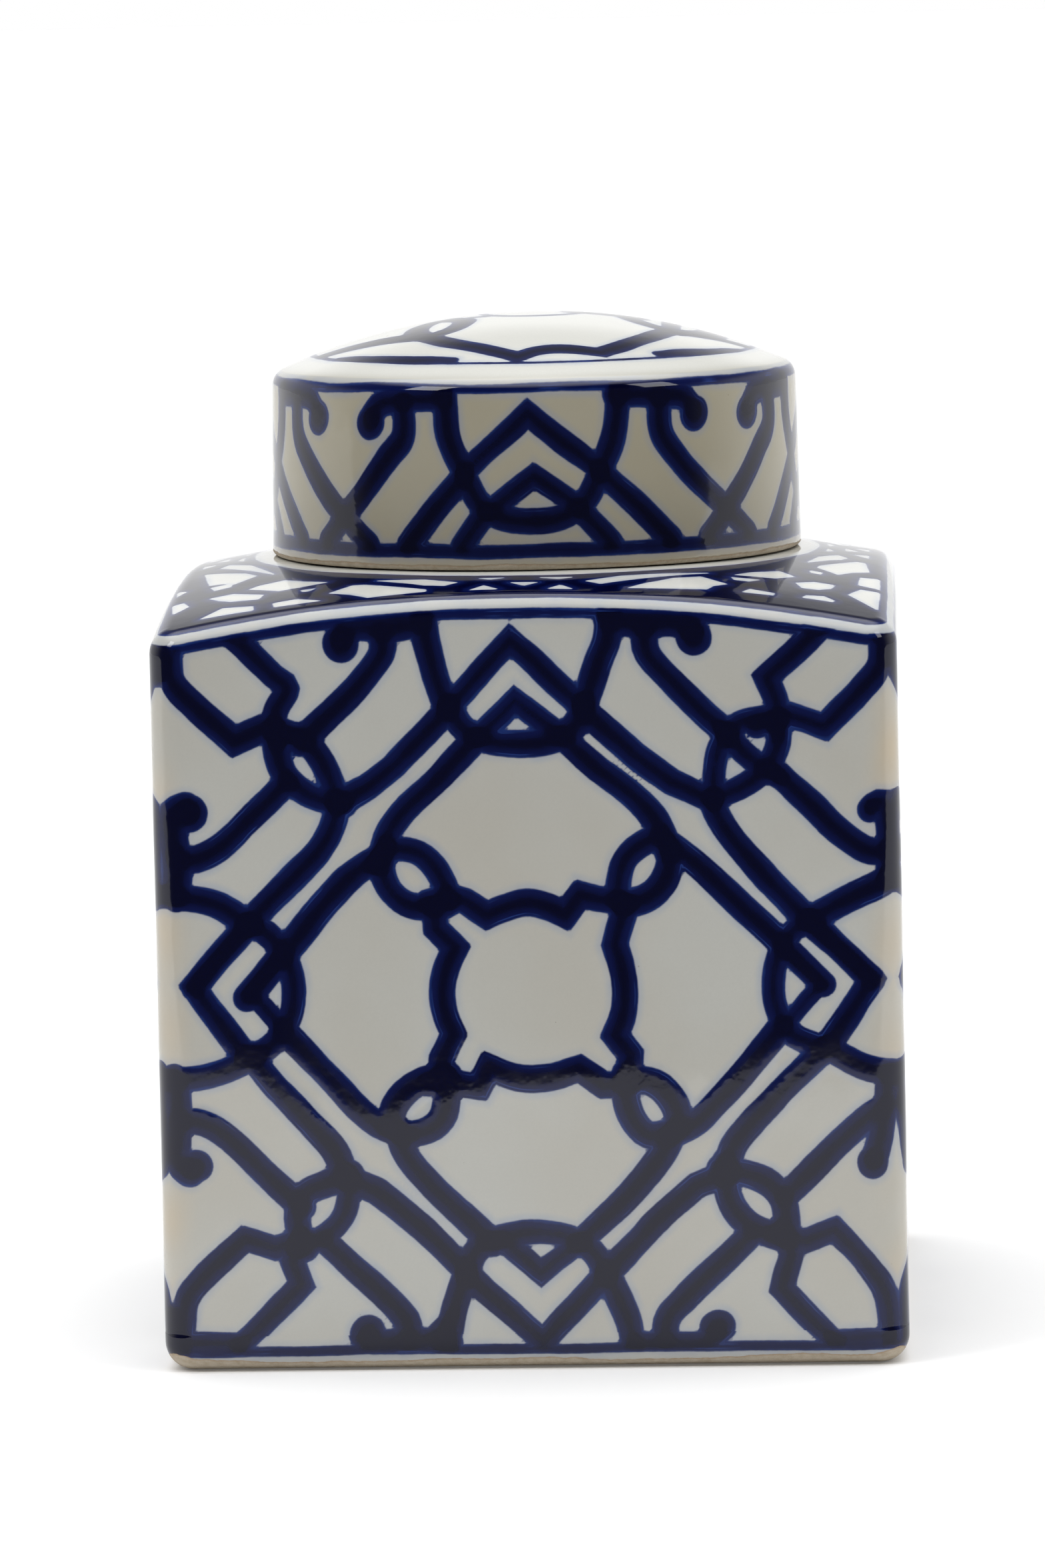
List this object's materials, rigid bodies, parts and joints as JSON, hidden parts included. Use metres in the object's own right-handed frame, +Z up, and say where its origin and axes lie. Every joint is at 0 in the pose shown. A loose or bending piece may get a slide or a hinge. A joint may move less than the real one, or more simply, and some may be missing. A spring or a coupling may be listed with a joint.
{
  "type": "square lidded ginger jar",
  "caption": "Square glazed porcelain jar with a round cap lid that lifts off its neck, for storing dry goods or for display.",
  "frame": {"origin": "centre of the foot's footprint, on the surface that the jar stands on", "axes": "+Z up along the neck's axis, front face towards -Y, +X to the right of the front face"},
  "size_m": [0.2, 0.2, 0.2777],
  "materials": {
    "jar_porcelain": "gloss",
    "lid_porcelain": "gloss"
  },
  "bodies": {
    "jar": {"jar_body": "jar_porcelain"},
    "lid": {"lid": "lid_porcelain"}
  },
  "joints": [
    {"name": "lid_lift", "type": "slide", "parent": "jar", "child": "lid", "axis": [0, 0, 1], "range_m": [0, 0.08]}
  ]
}
